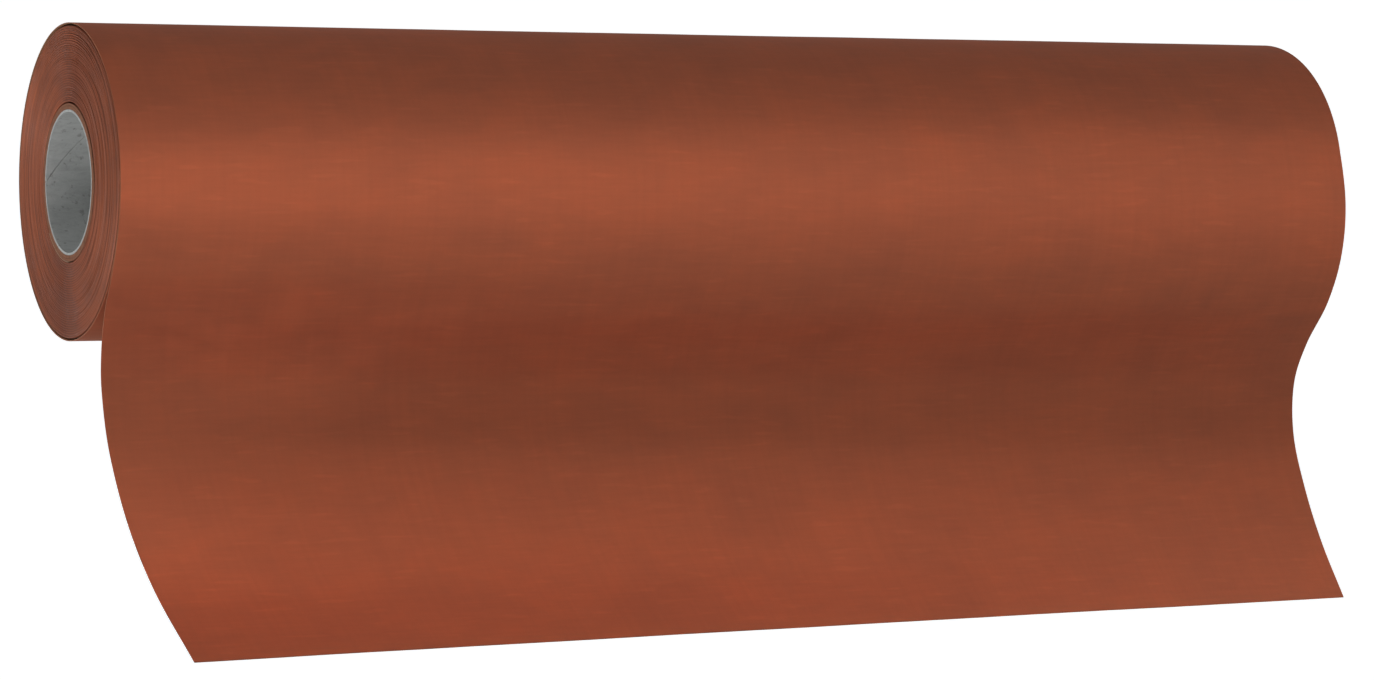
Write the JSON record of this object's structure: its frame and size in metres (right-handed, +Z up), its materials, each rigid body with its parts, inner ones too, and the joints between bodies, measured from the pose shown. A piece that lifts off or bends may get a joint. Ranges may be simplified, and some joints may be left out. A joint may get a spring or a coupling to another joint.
{
  "type": "copper foil sheet roll",
  "caption": "Wide roll of adhesive-backed copper foil wound on a hollow paperboard core, with its free end hanging and its release liner ready to peel.",
  "frame": {"origin": "centre of the core's bore, midway between the roll's two ends", "axes": "+X along the roll's axis, towards the end that the hanging sheet strays past; the sheet hangs on the -Y side; +Z up"},
  "size_m": [0.3176, 0.0751, 0.1345],
  "materials": {
    "copper_foil": "satin",
    "adhesive": "satin",
    "release_liner": "matte",
    "wound_edge": "matte",
    "greyboard": "matte",
    "kraft_board": "matte",
    "transfer_tape": "satin"
  },
  "bodies": {
    "web": {"outer_turn_foil": "copper_foil", "outer_turn_adhesive": "adhesive", "outer_turn_liner": "release_liner"},
    "roll": {"core_inner_ply": "greyboard", "core_middle_ply": "kraft_board", "core_outer_ply": "kraft_board", "start_strip": "transfer_tape", "wound_turns": "wound_edge"},
    "lead": {"lead_foil": "copper_foil", "lead_adhesive": "adhesive", "lead_liner": "release_liner"},
    "pull_strip": {"liner_pull_strip": "release_liner"}
  },
  "joints": [
    {"name": "roll_spin", "type": "hinge", "parent": "web", "child": "roll", "pos_m": [0, 0, 0], "axis": [1, 0, 0], "continuous": true},
    {"name": "lead_bend", "type": "hinge", "parent": "web", "child": "lead", "pos_m": [0, -0.01059, -0.0468], "axis": [-0.9999, -0.0062, 0.0125], "range_deg": [-40, 60]},
    {"name": "liner_peel", "type": "hinge", "parent": "lead", "child": "pull_strip", "pos_m": [0, -0.01877, -0.08702], "axis": [0.999, 0.0435, -0.0055], "range_deg": [0, 140]}
  ]
}
